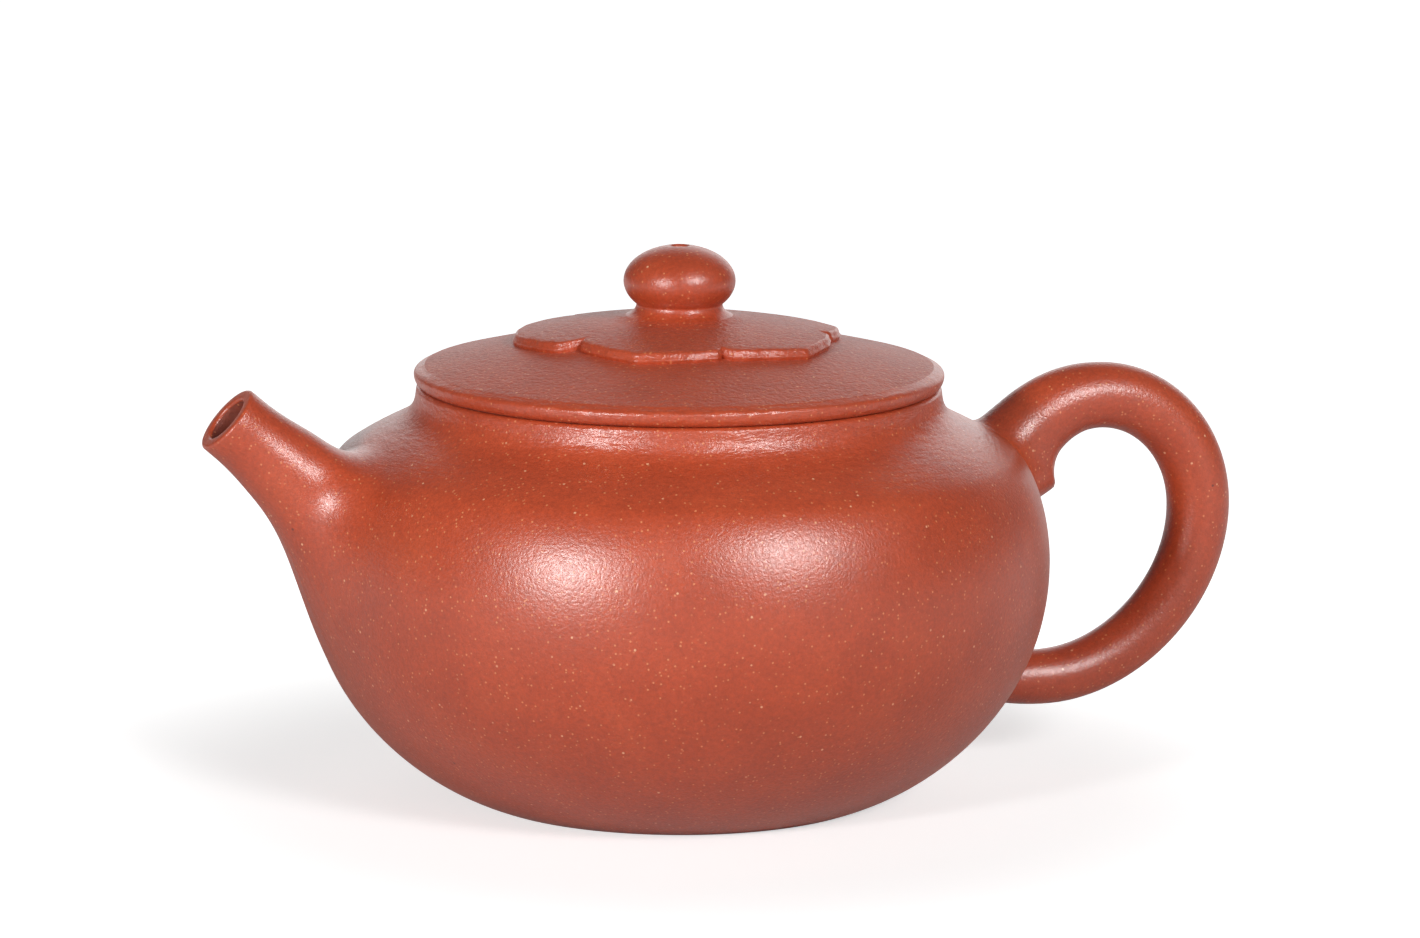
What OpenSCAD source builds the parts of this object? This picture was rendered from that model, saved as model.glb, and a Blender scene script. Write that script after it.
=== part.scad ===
// Round-bellied clay teapot: lifting lid, straight spout and an ear-shaped handle.
// Millimetres. The origin is the centre of the foot, on the surface that the pot
// stands on. +Z is up, the spout points along -X and the handle along +X.
// Every piece is one that the potter forms by itself and joins with clay slip.

/* [Body] */
// Diameter of the belly at its widest
belly_d = 104; // [92:0.5:116]
// Height of the widest part of the belly
belly_z = 32.9; // [29:0.1:36]
// Thickness of the body's wall
wall_t = 2.8; // [2:0.1:3.4]
// Diameter that the pot stands on
foot_d = 57.4; // [48:0.5:64]
// Angle at which the wall leaves the foot, above the horizontal
foot_rise = 19.4; // [10:0.2:26]
// Width of the flat ring that touches the table
stand_w = 4.5; // [3:0.1:7]
// How far the middle of the base is pressed in
base_press = 0.9; // [0.4:0.1:1.4]
// How far the turn of the shoulder lies inside the belly's widest line
shoulder_in = 5.4; // [4.6:0.1:6.5]
// Height of the turn of the shoulder above the belly's widest line
shoulder_up = 15.8; // [14.5:0.1:17.5]
// Slope of the shoulder at its turn, below the horizontal
shoulder_slope = 34; // [28:0.5:40]

/* [Mouth] */
// Outer diameter of the neck at the mouth
mouth_d = 73.7; // [70:0.1:76]
// Height of the mouth above the turn of the shoulder
neck_up = 8.93; // [8:0.01:10.5]
// Radius that softens the mouth's outer edge
mouth_edge_r = 0.5; // [0.2:0.05:0.8]

/* [Lid] */
// How far the lid's edge stands out past the mouth
lid_overhang = 0.1; // [0:0.05:0.6]
// Thickness of the ring that rests on the mouth
seat_t = 1.7; // [1.2:0.05:2.4]
// Thickness of the domed disc
lid_t = 2.4; // [1.8:0.1:3]
// Height of the dome's rounded edge, above the seat ring
edge_up = 1.0; // [0.6:0.05:1.6]
// How far the lid's rounded edge turns in, above and below its widest line
edge_in = 1.1; // [0.6:0.05:1.6]
// Height of the dome's middle above its edge
dome_up = 5.5; // [4:0.1:8]
// Slope of the dome where it meets its rounded edge
dome_slope = 14; // [10:0.5:18]
// Gap all round between the flange and the inside of the mouth
lid_gap = 0.3; // [0.15:0.05:0.6]
// Thickness of the flange
flange_t = 1.8; // [1.4:0.1:2.4]
// Depth of the flange below the mouth
flange_depth = 6.5; // [4:0.1:7.5]
// Diameter of the air hole through the knob and the lid
vent_d = 2.2; // [1.6:0.1:3]

/* [Calyx and knob] */
// Number of lobes of the leaf under the knob
lobes = 5; // [4:1:7]
// Diameter over the lobes' points
calyx_d = 45; // [38:0.5:50]
// Depth of the notches between the lobes
notch_in = 5.6; // [3:0.1:7]
// Width of a notch where it opens
notch_w = 2.4; // [1.5:0.1:4]
// How far the lobes' sides bulge past straight lines
lobe_bulge = 0.9; // [0:0.1:1.5]
// Turn of the leaf's first point away from the spout
leaf_turn = 17; // [0:1:36]
// Thickness of the leaf
calyx_t = 1.15; // [0.8:0.05:1.6]
// Diameter of the knob
knob_d = 15.6; // [13:0.1:18]
// Height of the flattened ball of the knob
knob_h = 8.2; // [7:0.1:10]
// Diameter of the neck under the knob
knob_neck_d = 12; // [9:0.1:12.4]
// Height of the knob's neck above the leaf
knob_neck_h = 2.3; // [1.5:0.1:4]
// How far the foot of the neck spreads over the leaf
knob_spread = 3.4; // [1.5:0.1:4.5]

/* [Spout] */
// How far the middle of the spout's tip lies beyond the belly
spout_reach = 12.8; // [9:0.1:16]
// How far the middle of the tip lies below the mouth
spout_drop = 1.5; // [0:0.1:4]
// Slope of the spout's axis
spout_slope = 42.2; // [37:0.2:45]
// Outer diameter at the tip
tip_d = 10.5; // [9:0.1:12]
// Bore at the tip
tip_bore = 6.6; // [5:0.1:7.4]
// Rounding of the tip's rim
tip_edge_r = 0.7; // [0.3:0.05:0.8]
// Length of the straight part at the tip
tip_run = 3; // [1:0.1:5]
// Diameter that the spout's root spreads to inside the belly's outline
root_d = 32.4; // [29:0.2:35]
// Distance from the tip to that spread diameter, along the axis
root_run = 35; // [33:0.2:37]

/* [Strainer] */
// Diameter of the hole in the belly behind the spout
pour_hole_d = 11.2; // [9:0.1:13]
// Outer diameter of the strainer's ball
ball_d = 16; // [15:0.2:19]
// Thickness of the strainer's shell
ball_t = 1.3; // [1:0.1:1.8]
// Air between the ball's rim and the belly's inside at its widest, along the spout's axis
collar_lift = 0.5; // [0.3:0.1:1.5]
// Diameter of each strainer hole
strain_d = 1.7; // [1.2:0.1:2.2]
// Rings of holes round the middle one
strain_rows = 2; // [1:1:3]
// Angle between one ring of holes and the next
strain_step = 24; // [18:1:26]

/* [Handle] */
// Thickness of the handle's coil at its outermost part
coil_d = 9; // [7:0.1:10.5]
// Thickness of the coil where it leaves the shoulder
coil_top_d = 10.4; // [9:0.1:12]
// Thickness of the coil where it meets the lower belly
coil_low_d = 7.9; // [6.5:0.1:9.5]
// How far the middle of the coil reaches beyond the belly
handle_reach = 26.4; // [22:0.1:32]
// How far the crest of the handle lies beyond the belly
crest_out = 10.6; // [8:0.1:13]
// How far the middle of the coil's crest lies below the mouth
crest_drop = 4.4; // [3:0.1:7]
// Height of the outermost part of the handle
handle_z = 36.5; // [32:0.1:39]
// How far beyond the belly the coil turns level at its lower end
low_out = 2.6; // [2:0.1:6]
// Height of the lower end of the coil
low_z = 12.7; // [11:0.1:15]
// How far the tail under the upper root stands out from the belly
tail_out = 4.2; // [2.5:0.1:5]
// How far the tail's tip lies below the turn of the shoulder
tail_drop = 8; // [6:0.1:10]
// Air left between the handle's ends and the belly, for the slip
slip = 0.02; // [0:0.01:0.05]

/* [Hidden] */
$fn = 128;

clay = "#a8452f";
clay_light = "#b8604c";
clay_dark = "#97402d";

// Steps along each curve of the body, of the lid and of the spout
wall_steps = 12;
dome_steps = 10;
spout_steps = 12;
// Steps round a rounded edge
edge_steps = 4;
// Sides and rings of the handle
coil_sides = 28;
coil_steps = 12;
// Overlap that carries a cutting tool clear of the faces it cuts
past = 1;

belly_r = belly_d / 2;
foot_r = foot_d / 2;
mouth_r = mouth_d / 2;
shoulder_r = belly_r - shoulder_in;
shoulder_z = belly_z + shoulder_up;
mouth_z = shoulder_z + neck_up;

// Point number i of n along a cubic curve from a to d, with b and c as its handles
function curve_at(a, b, c, d, t) =
    pow(1 - t, 3) * a + 3 * pow(1 - t, 2) * t * b + 3 * (1 - t) * t * t * c + t * t * t * d;
function curve(a, b, c, d, n) = [for (i = [0 : n]) curve_at(a, b, c, d, i / n)];
function tail(points) = [for (i = [1 : len(points) - 1]) points[i]];
function reversed(points) = [for (i = [len(points) - 1 : -1 : 0]) points[i]];
function part_of(points, first, last) = [for (i = [first : last]) points[i]];

// The body's outside, as [radius, height] from the foot to the mouth: a low curve up
// to the belly's widest line, a tight one to the shoulder and a hollow one to the neck.
foot_point = [foot_r, 0];
belly_point = [belly_r, belly_z];
shoulder_point = [shoulder_r, shoulder_z];
mouth_point = [mouth_r, mouth_z];
foot_dir = [cos(foot_rise), sin(foot_rise)];
shoulder_dir = [cos(shoulder_slope), -sin(shoulder_slope)];
low_curve = curve(foot_point, foot_point + 10 * foot_dir,
                  belly_point - [0, 18.4], belly_point, wall_steps + 6);
high_curve = curve(belly_point, belly_point + [0, 7.1],
                   shoulder_point + 3.5 * shoulder_dir, shoulder_point, wall_steps);
neck_curve = curve(shoulder_point, shoulder_point - 7.8 * shoulder_dir,
                   mouth_point - [0, 5.8], mouth_point, wall_steps);
outside = concat(low_curve, tail(high_curve), tail(neck_curve));
top_i = len(outside) - 1;
shoulder_i = top_i - wall_steps;
neck_i = shoulder_i + 7;

// The inside lies one wall's thickness in, square to the outside
function inward(i) =
    i == 0 ? [-foot_dir[1], foot_dir[0]] :
    i == top_i ? [-1, 0] :
    let (run = outside[i + 1] - outside[i - 1]) [-run[1], run[0]] / norm(run);
inside = [for (i = [0 : top_i]) outside[i] + wall_t * inward(i)];
wall_by_height = [for (p = outside) [p[1], p[0]]];
function outside_r(z) = lookup(z, wall_by_height);

// Stretch of the body's wall between two points of its outline
module wall_ring(first, last) {
    rotate_extrude()
        polygon(concat(part_of(outside, first, last), reversed(part_of(inside, first, last))));
}

// Solid of revolution inside part of an outline
module solid_within(points) {
    rotate_extrude() polygon(concat([[0, points[0][1]]], points, [[0, points[len(points) - 1][1]]]));
}

// The spout's axis runs from the middle of its tip down into the belly
tip = [-belly_r - spout_reach, mouth_z - spout_drop];
function axis_r(s) = abs(tip[0] + s * cos(spout_slope));
function axis_z(s) = tip[1] - s * sin(spout_slope);
function meets_wall(s) = axis_r(s) <= outside_r(axis_z(s)) ? s : meets_wall(s + 0.1);
wall_s = meets_wall(0);
module along_spout(s = 0) {
    translate([tip[0], 0, tip[1]]) rotate([0, 90 + spout_slope, 0]) translate([0, 0, s]) children();
}

tip_r = tip_d / 2;
bore_r = tip_bore / 2;
pour_r = pour_hole_d / 2;

module base_disc() {
    press_r = foot_r - stand_w;
    color(clay_dark) rotate_extrude()
        polygon([[0, base_press], [press_r - 2 * base_press, base_press], [press_r, 0],
                 foot_point, inside[0], [0, inside[0][1]]]);
}

module body_wall() {
    color(clay) difference() {
        wall_ring(0, shoulder_i);
        along_spout(wall_s - 4) cylinder(r = pour_r, h = 16);
    }
}

module shoulder_disc() {
    color(clay_light) wall_ring(shoulder_i, neck_i);
}

module neck_ring() {
    edge = [for (i = [0 : edge_steps]) let (a = 90 * i / edge_steps)
        mouth_point + mouth_edge_r * [cos(a) - 1, sin(a) - 1]];
    color(clay) rotate_extrude()
        polygon(concat(part_of(outside, neck_i, top_i - 1), edge,
                       reversed(part_of(inside, neck_i, top_i))));
}

// Half-ball of clay pierced with rings of holes, on a collar that fits the belly's
// inside round the pouring hole
module strainer() {
    ball_r = ball_d / 2;
    // Far enough in for the slanted rim to clear the upright wall of the belly
    collar_s = (spout_reach + wall_t) / cos(spout_slope) + ball_r * tan(spout_slope) + collar_lift;
    color(clay_dark) {
        along_spout(collar_s) difference() {
            sphere(r = ball_r);
            sphere(r = ball_r - ball_t);
            translate([-ball_r, -ball_r, -2 * ball_r]) cube(2 * ball_r);
            for (row = [0 : strain_rows], k = [0 : max(1, 6 * row) - 1])
                rotate([0, 0, k * 360 / max(1, 6 * row)]) rotate([0, row * strain_step, 0])
                    translate([0, 0, ball_r - ball_t - past]) cylinder(d = strain_d, h = ball_t + 2 * past);
        }
        intersection() {
            solid_within(part_of(inside, wall_steps, shoulder_i + 2));
            along_spout(wall_s) difference() {
                cylinder(r = ball_r, h = collar_s - wall_s);
                translate([0, 0, -past]) cylinder(r = ball_r - ball_t, h = collar_s - wall_s + 2 * past);
            }
        }
    }
}

module spout() {
    straight = [tip_run, tip_r];
    root = [root_run, root_d / 2];
    flare = curve(straight, straight + [17, 0], root - [9, 3], root, spout_steps);
    lip = [for (i = [0 : edge_steps]) let (a = 90 * i / edge_steps)
        [tip_edge_r * (1 - sin(a)), tip_r - tip_edge_r * (1 - cos(a))]];
    inner_lip = [for (i = [0 : edge_steps]) let (a = 90 * i / edge_steps)
        [tip_edge_r * (1 - sin(a)), bore_r + tip_edge_r * (1 - cos(a))]];
    bore_run = [tip_run, bore_r];
    bore_end = [wall_s + wall_t, pour_r];
    bore = curve(bore_run, bore_run + [7, 0], bore_end - [5, 1.4], bore_end, spout_steps);
    outline = concat(reversed(lip), flare, [[root_run, pour_r]], reversed(bore), inner_lip);
    color(clay) difference() {
        along_spout() rotate_extrude() polygon([for (p = outline) [p[1], p[0]]]);
        solid_within(part_of(outside, wall_steps, neck_i));
    }
}

// The handle: rings round a centreline in the XZ plane, closed on the body's surface
crest = [belly_r + crest_out, mouth_z - crest_drop];
outmost = [belly_r + handle_reach, handle_z];
low_turn = [belly_r + low_out, low_z];
// Length of a curve's handles, as a share of the axes, that makes a quarter of an ellipse
quarter = 0.5523;
// The lower quarter is a little flatter
low_quarter = 0.525;
leaving = [shoulder_r + 4.6, shoulder_z - 0.3];
rise_curve = curve(leaving, leaving + [2.6, 2.6], crest - [5, 0], crest, coil_steps - 4);
out_curve = curve(crest, crest + [quarter * (outmost[0] - crest[0]), 0],
                  outmost + [0, quarter * (crest[1] - outmost[1])], outmost, coil_steps);
under_curve = curve(outmost, outmost - [0, low_quarter * (outmost[1] - low_turn[1])],
                    low_turn + [low_quarter * (outmost[0] - low_turn[0]), 0], low_turn, coil_steps + 2);
centreline = concat(rise_curve, tail(out_curve), tail(under_curve));
last_i = len(centreline) - 1;
crest_i = len(rise_curve) - 1;
outmost_i = crest_i + coil_steps;
function coil_r(i) = lookup(i, [[0, coil_top_d / 2], [crest_i, (coil_top_d + coil_d) / 4 - 0.15],
                                [outmost_i, coil_d / 2], [last_i, coil_low_d / 2]]);
function heading(i) =
    i == last_i ? [-1, 0] :
    let (run = centreline[i + 1] - centreline[max(0, i - 1)]) run / norm(run);

// Ring of points between an upper and a lower point of the XZ plane, half_w wide along Y
function ring(upper, lower, half_w) = [for (k = [0 : coil_sides - 1])
    let (a = 360 * k / coil_sides, mid = (upper + lower) / 2, half = (upper - lower) / 2,
         p = mid + cos(a) * half) [p[0], half_w * sin(a), p[1]]];
function coil_ring(i) =
    let (n = coil_r(i) * [-heading(i)[1], heading(i)[0]])
    ring(centreline[i] + n, centreline[i] - n, coil_r(i));
// The same ring shrunk towards its middle and laid on the body's surface
function on_body(loop, share) =
    let (mid = (loop[0] + loop[coil_sides / 2]) / 2)
    [for (p = loop) let (q = mid + share * (p - mid))
        [sqrt(pow(outside_r(q[2]), 2) - q[1] * q[1]) + slip, q[1], q[2]]];

module handle() {
    root_half_w = coil_top_d / 2 + 0.7;
    tail_tip = [belly_r + tail_out, shoulder_z - tail_drop];
    tail_ring = ring([shoulder_r + 1.4, shoulder_z + 3.1], tail_tip, root_half_w - 0.1);
    root_ring = ring([0, shoulder_z + 1.4], [0, shoulder_z - tail_drop - 2.6], root_half_w);
    low_ring = ring([0, low_z - coil_r(last_i)], [0, low_z + coil_r(last_i)], coil_r(last_i));
    shares = [0.33, 0.66, 1];
    loops = concat([for (share = shares) on_body(root_ring, share)], [tail_ring],
                   [for (i = [0 : last_i]) coil_ring(i)],
                   [for (share = reversed(shares)) on_body(low_ring, share)]);
    points = concat([for (loop = loops) each loop],
                    [on_body(root_ring, 0)[0], on_body(low_ring, 0)[0]]);
    n = coil_sides;
    m = len(loops);
    sides = [for (j = [0 : m - 2], k = [0 : n - 1]) let (k2 = (k + 1) % n)
        each [[j * n + k, (j + 1) * n + k, (j + 1) * n + k2], [j * n + k, (j + 1) * n + k2, j * n + k2]]];
    caps = [for (k = [0 : n - 1]) let (k2 = (k + 1) % n)
        each [[m * n, k, k2], [m * n + 1, (m - 1) * n + k2, (m - 1) * n + k]]];
    color(clay_light) polyhedron(points, concat(sides, caps), convexity = 6);
}

// The lid, from the mouth's plane up: seat ring, dome, leaf and knob
lid_r = mouth_r + lid_overhang;
flange_r = mouth_r - wall_t - lid_gap;
flange_in_r = flange_r - flange_t;
seat_z = mouth_z + seat_t;
dome_edge = [lid_r - edge_in, seat_z + edge_up];
dome_top = [0, dome_edge[1] + dome_up];
dome_out = [cos(dome_slope), -sin(dome_slope)];
dome_curve = curve(dome_edge, dome_edge - 10 * dome_out, dome_top + [12, 0], dome_top, dome_steps);
dome_by_radius = [for (p = reversed(dome_curve)) p];
function dome_z(r) = lookup(r, dome_by_radius);

module seat_ring() {
    turn = [for (i = [0 : edge_steps]) let (a = 90 * i / edge_steps)
        [lid_r - edge_in * (1 - sin(a)), mouth_z + seat_t * (1 - cos(a))]];
    color(clay) rotate_extrude() polygon(concat([[flange_in_r, mouth_z]], turn, [[flange_in_r, seat_z]]));
}

module lid_flange() {
    soft = flange_t / 4;
    low = mouth_z - flange_depth;
    color(clay_light) rotate_extrude()
        polygon([[flange_in_r, mouth_z], [flange_in_r, low + soft], [flange_in_r + soft, low],
                 [flange_r - soft, low], [flange_r, low + soft], [flange_r, mouth_z]]);
}

module vent_hole() {
    translate([0, 0, seat_z]) cylinder(d = vent_d, h = dome_up + edge_up + knob_neck_h + knob_h + calyx_t + past);
}

module lid_dome() {
    turn = [for (i = [0 : edge_steps - 1]) let (a = 90 * i / edge_steps)
        [dome_edge[0] + edge_in * cos(a), seat_z + edge_up * sin(a)]];
    under = [for (p = dome_curve) if (p[0] < flange_in_r - 1 && p[1] - lid_t > seat_z) p - [0, lid_t]];
    color(clay_light) difference() {
        rotate_extrude() polygon(concat(turn, dome_curve, reversed(under), [[under[0][0] + 2, seat_z]]));
        vent_hole();
    }
}

// Outline of one lobe: from its notch, out along a bulging side to its point, and back
function lobe(turn) =
    let (half = 180 / lobes, r = calyx_d / 2, notch_r = r - notch_in,
         lip_a = half - asin(notch_w / 2 / (notch_r + notch_w)), lip_r = notch_r + notch_w,
         side = [for (i = [0 : 3]) let (t = i / 4)
             [lip_r + (r - lip_r) * t + lobe_bulge * sin(180 * t), lip_a * (1 - t)]],
         ups = [for (p = side) p[0] * [cos(turn - p[1]), sin(turn - p[1])]],
         downs = [for (p = reversed(side)) p[0] * [cos(turn + p[1]), sin(turn + p[1])]])
    concat([notch_r * [cos(turn - half), sin(turn - half)]], ups,
           [r * [cos(turn), sin(turn)]], downs);

module calyx() {
    outline = [for (k = [0 : lobes - 1]) each lobe(180 - leaf_turn + k * 360 / lobes)];
    skin_top = [for (p = dome_curve) p + [0, calyx_t]];
    color(clay) difference() {
        intersection() {
            rotate_extrude() polygon(concat(skin_top, reversed(dome_curve)));
            translate([0, 0, seat_z]) linear_extrude(height = dome_up + edge_up + calyx_t + past) polygon(outline);
        }
        vent_hole();
    }
}

module knob() {
    ball_r = knob_d / 2;
    neck_r = knob_neck_d / 2;
    neck_z = dome_z(neck_r) + calyx_t + knob_neck_h;
    // The ball is an ellipse cut off where it is as wide as the neck
    cut_a = acos(neck_r / ball_r);
    ball_z = neck_z + knob_h * sin(cut_a) / (1 + sin(cut_a));
    ball_h = knob_h / (1 + sin(cut_a));
    ball = [for (i = [0 : 16]) let (a = -cut_a + (90 + cut_a) * i / 16)
        [ball_r * cos(a), ball_z + ball_h * sin(a)]];
    foot_out = neck_r + knob_spread;
    foot_top = [foot_out, dome_z(foot_out) + calyx_t];
    neck_point = [neck_r, neck_z];
    neck = curve(foot_top, foot_top - [knob_spread * 0.8, -0.4], neck_point - [0, knob_neck_h * 0.6],
                 neck_point, 8);
    under = [for (p = dome_curve) if (p[0] < foot_out - 0.5) p + [0, calyx_t]];
    color(clay_dark) difference() {
        rotate_extrude() polygon(concat(neck, tail(ball), reversed(under)));
        vent_hole();
    }
}

base_disc();
body_wall();
shoulder_disc();
neck_ring();
strainer();
spout();
handle();
seat_ring();
lid_flange();
lid_dome();
calyx();
knob();
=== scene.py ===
"""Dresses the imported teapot: smooth belly, blended spout and handle, carved lid and fired clay."""

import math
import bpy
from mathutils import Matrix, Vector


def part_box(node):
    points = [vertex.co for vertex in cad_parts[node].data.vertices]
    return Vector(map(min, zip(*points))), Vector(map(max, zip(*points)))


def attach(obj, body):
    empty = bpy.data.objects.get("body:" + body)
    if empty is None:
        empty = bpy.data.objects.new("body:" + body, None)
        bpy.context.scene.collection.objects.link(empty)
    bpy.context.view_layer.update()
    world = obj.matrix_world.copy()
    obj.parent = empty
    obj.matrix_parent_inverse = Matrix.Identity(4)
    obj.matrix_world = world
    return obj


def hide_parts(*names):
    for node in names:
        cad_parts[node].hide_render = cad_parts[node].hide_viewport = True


bl_info = {
    "name": "Round-bellied clay teapot",
    "version": (1, 0, 0),
    "blender": (4, 5, 0),
    "location": "View3D > Sidebar > Teapot",
    "description": "Builds the visible pieces, clay and studio of a hand-built teapot",
    "category": "Add Mesh",
}

from types import SimpleNamespace

import bmesh
import bpy
from bpy.props import FloatProperty, FloatVectorProperty, PointerProperty
from mathutils import Matrix, Vector

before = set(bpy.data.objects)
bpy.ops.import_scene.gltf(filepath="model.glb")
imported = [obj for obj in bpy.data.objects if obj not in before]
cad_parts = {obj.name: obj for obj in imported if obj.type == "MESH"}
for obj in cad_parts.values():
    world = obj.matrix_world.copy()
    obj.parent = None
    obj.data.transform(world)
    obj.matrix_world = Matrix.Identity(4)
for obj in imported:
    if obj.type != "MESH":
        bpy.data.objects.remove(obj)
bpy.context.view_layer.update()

MM = 0.001
TURN_SIDES = 192
COIL_SIDES = 96
ROD_SIDES = 48
WELD_MM = 0.002
SMOOTH_ANGLE = 50

# Radius of the pouring hole through the belly's wall
HOLE_R = 5.6
# Depth that a spout's or handle's root sinks into the pot's skin
ROOT_SINK = 0.05


def linear(hex_colour):
    """Linear red, green and blue of an sRGB hex colour."""
    parts = [int(hex_colour[i : i + 2], 16) / 255 for i in (1, 3, 5)]
    return tuple(c / 12.92 if c <= 0.04045 else ((c + 0.055) / 1.055) ** 2.4 for c in parts)


def across(node):
    """Width of a CAD node along Y, in millimetres."""
    low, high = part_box(node)
    return (high.y - low.y) / MM


def length(name, description, default_mm):
    return FloatProperty(name=name, description=description, default=default_mm * MM,
                         unit="LENGTH", precision=5)


def colour(name, description, hex_colour):
    return FloatVectorProperty(name=name, description=description, subtype="COLOR", size=3,
                               min=0.0, max=1.0, default=linear(hex_colour))


def strength(name, description, default, unit="NONE"):
    return FloatProperty(name=name, description=description, default=default, unit=unit)


class TeapotShape(bpy.types.PropertyGroup):
    """Sizes of the pot, its spout, handle and lid."""

    belly_d: length("Belly", "Diameter of the belly at its widest", across("body_wall"))
    belly_z: length("Belly height", "Height of the widest part of the belly", 32.9)
    wall_t: length("Wall", "Thickness of the body's wall", 2.8)
    foot_d: length("Foot", "Diameter that the pot stands on", across("base_disc"))
    mouth_d: length("Mouth", "Outer diameter of the neck at the mouth", 73.7)
    mouth_z: length("Mouth height", "Height of the mouth above the table",
                    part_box("neck_ring")[1].z / MM)
    lid_t: length("Lid", "Thickness of the lid's disc", 2.4)
    leaf_d: length("Leaf", "Diameter over the points of the leaf under the knob", 45.0)
    leaf_t: length("Leaf thickness", "Thickness of the leaf's edge", 1.5)
    knob_d: length("Knob", "Diameter of the knob", 15.6)
    vent_d: length("Air hole", "Diameter of the air hole through the knob", 2.2)
    tip_d: length("Spout tip", "Outer diameter of the spout's tip", 10.2)
    tip_bore: length("Spout bore", "Bore of the spout's tip", 6.6)
    coil_d: length("Handle coil", "Thickness of the handle's coil at its outermost part", 9.0)


class TeapotClay(bpy.types.PropertyGroup):
    """Colours of the fired clay."""

    body: colour("Clay", "Main colour of the fired clay", "#b44523")
    deep: colour("Deep clay", "Redder clay in the mottling", "#9e3a1d")
    pale: colour("Pale clay", "Lighter clay in the mottling", "#bf512c")
    # The inner clay is darker than the body: painted shade inside the pot, spout, lid and strainer
    inner: colour("Inner clay", "Scraped clay inside the pot, darkened as painted shade", "#7d3322")
    speck: colour("Speck", "Sandy grains in the clay", "#dc8a5c")
    quartz: colour("Quartz speck", "Fewer, paler grains of quartz", "#ecb48c")
    iron: colour("Iron speck", "Rare dark grains of iron in the clay", "#53231a")
    sheen: colour("Sheen", "Bloom on the burnished skin at a low angle", "#ffd9d0")


class TeapotStudio(bpy.types.PropertyGroup):
    """Strength of the soft studio light."""

    left: strength("Left softbox", "Power of the small softbox", 0.084, "POWER")
    right: strength("Right softbox", "Power of the broad softbox", 0.17, "POWER")
    room: strength("Room", "Strength of the even light of the room", 0.12)
    paper: strength("Paper", "Whiteness of the paper under the pot", 0.61)
    backdrop: strength("Backdrop", "Strength of the white sheet behind the pot", 1.8)


GROUPS = {"teapot_shape": TeapotShape, "teapot_clay": TeapotClay, "teapot_studio": TeapotStudio}


# ---------------------------------------------------------------- outlines


def in_mm(group):
    """The group's sizes as plain numbers of millimetres."""
    return SimpleNamespace(**{key: getattr(group, key) / MM for key in group.__annotations__})


def point(*values):
    return Vector(values)


def direction(degrees):
    return point(math.cos(math.radians(degrees)), math.sin(math.radians(degrees)))


def around(sides):
    """Angles of a ring's points, in radians."""
    return [math.tau * i / sides for i in range(sides)]


def curve(a, b, c, d, steps):
    """Points along a cubic curve from a to d, drawn towards b and then c."""
    return [a * (1 - t) ** 3 + b * 3 * t * (1 - t) ** 2 + c * 3 * t * t * (1 - t) + d * t**3
            for t in (i / steps for i in range(steps + 1))]


def profile_arc(centre, radius_x, radius_z, start, end, steps):
    """Points along part of an ellipse, from start to end degrees."""
    return [centre + point(radius_x * math.cos(a), radius_z * math.sin(a))
            for a in (math.radians(start + (end - start) * i / steps) for i in range(steps + 1))]


def rings_along(paths, steps):
    """Rings that join what the paths have at each of the steps."""
    return [[path[step] for path in paths] for step in steps]


def smooth(low, high, value):
    """0 below low, 1 above high, and a soft step between."""
    t = min(1.0, max(0.0, (value - low) / (high - low)))
    return t * t * (3 - 2 * t)


def between(pairs, x):
    """Straight-line lookup of x in (x, value) pairs that rise in x."""
    if x <= pairs[0][0]:
        return pairs[0][1]
    for (x0, y0), (x1, y1) in zip(pairs, pairs[1:]):
        if x <= x1:
            return y0 + (y1 - y0) * (x - x0) / (x1 - x0)
    return pairs[-1][1]


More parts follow.
